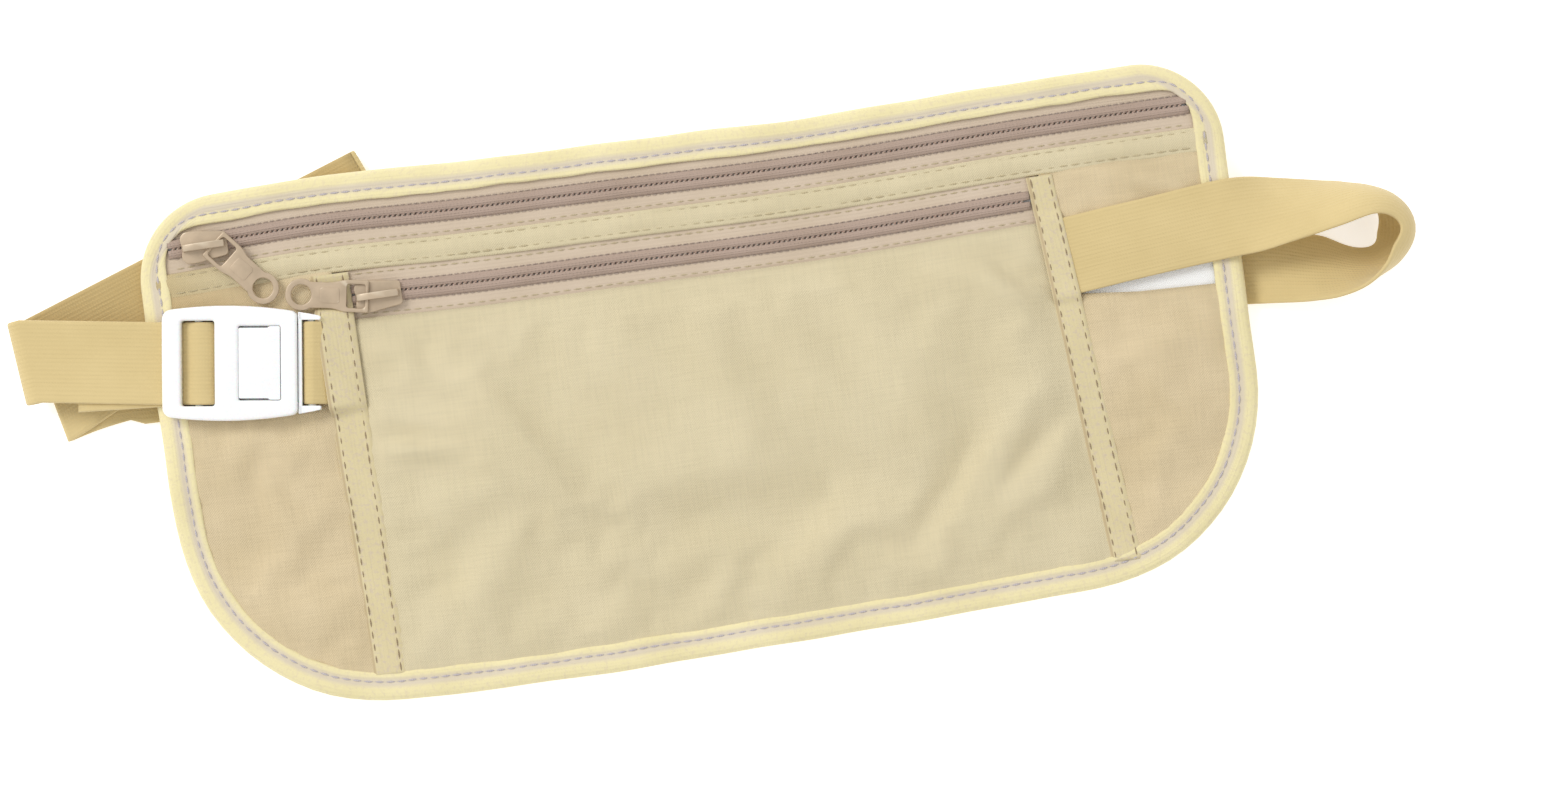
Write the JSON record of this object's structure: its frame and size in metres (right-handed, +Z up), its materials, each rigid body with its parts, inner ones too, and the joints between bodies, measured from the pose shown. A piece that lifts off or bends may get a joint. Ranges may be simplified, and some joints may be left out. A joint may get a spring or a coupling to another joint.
{
  "type": "money belt",
  "caption": "Flat waist pouch with rounded corners, a full-width top zip, a zipped front pocket, an elastic webbing belt folded behind it and a centre-push buckle.",
  "frame": {"origin": "middle of the whole object's footprint, on the table that it lies on", "axes": "+Z up out of the pouch's front face, +X along the pouch to the wearer's-left end away from the buckle, +Y towards the top zip"},
  "size_m": [0.3392, 0.132, 0.0204],
  "materials": {
    "panel_cloth": "matt fine-weave nylon",
    "wing_cloth": "matt fine-weave nylon",
    "lining_cloth": "matt white lining",
    "binding": "matt ribbed binding tape",
    "seam_tape": "matt ribbed tape",
    "zip_tape": "matt woven zip tape",
    "zip_coil": "satin nylon coil",
    "slider_metal": "satin paint",
    "webbing": "matt ribbed elastic",
    "buckle_plastic": "glossy white moulding"
  },
  "bodies": {
    "pouch": {"back_panel": "panel_cloth", "lining_panel": "lining_cloth", "mid_band_panel": "panel_cloth", "front_pocket_panel": "panel_cloth", "left_wing_upper": "wing_cloth", "left_wing_lower": "wing_cloth", "right_wing_upper": "wing_cloth", "right_wing_lower": "wing_cloth", "edge_binding": "binding", "left_seam_tape": "seam_tape", "right_seam_tape": "seam_tape", "top_zip_tape_upper": "zip_tape", "top_zip_tape_lower": "zip_tape", "top_zip_coil_upper": "zip_coil", "top_zip_coil_lower": "zip_coil", "front_zip_tape_upper": "zip_tape", "front_zip_tape_lower": "zip_tape", "front_zip_coil_upper": "zip_coil", "front_zip_coil_lower": "zip_coil", "belt_webbing": "webbing", "buckle_anchor_strap": "webbing", "buckle_male": "buckle_plastic"},
    "top_slider": {"top_zip_slider": "slider_metal"},
    "top_pull": {"top_zip_pull": "slider_metal"},
    "front_slider": {"front_zip_slider": "slider_metal"},
    "front_pull": {"front_zip_pull": "slider_metal"},
    "buckle_socket": {"buckle_female": "buckle_plastic", "belt_front_strap": "webbing"},
    "buckle_button": {"buckle_button": "buckle_plastic"}
  },
  "joints": [
    {"name": "top_zip_slide", "type": "slide", "parent": "pouch", "child": "top_slider", "axis": [1, 0, 0], "range_m": [0, 0.229]},
    {"name": "top_pull_lift", "type": "hinge", "parent": "top_slider", "child": "top_pull", "pos_m": [-0.11695, 0.04953, 0.0085], "axis": [-0.766, -0.6428, 0], "range_deg": [0, 120]},
    {"name": "front_zip_slide", "type": "slide", "parent": "pouch", "child": "front_slider", "axis": [1, 0, 0], "range_m": [0, 0.153]},
    {"name": "front_pull_lift", "type": "hinge", "parent": "front_slider", "child": "front_pull", "pos_m": [-0.08215, 0.03173, 0.0085], "axis": [0.1736, 0.9848, 0], "range_deg": [0, 120]},
    {"name": "buckle_slide", "type": "slide", "parent": "pouch", "child": "buckle_socket", "axis": [-0.9907, 0.1357, 0], "range_m": [0, 0.018]},
    {"name": "button_press", "type": "hinge", "parent": "buckle_socket", "child": "buckle_button", "pos_m": [-0.11465, 0.02011, 0.012], "axis": [0.1357, 0.9907, 0], "range_deg": [0, 4], "stiffness_Nm_per_rad": 0.5}
  ]
}
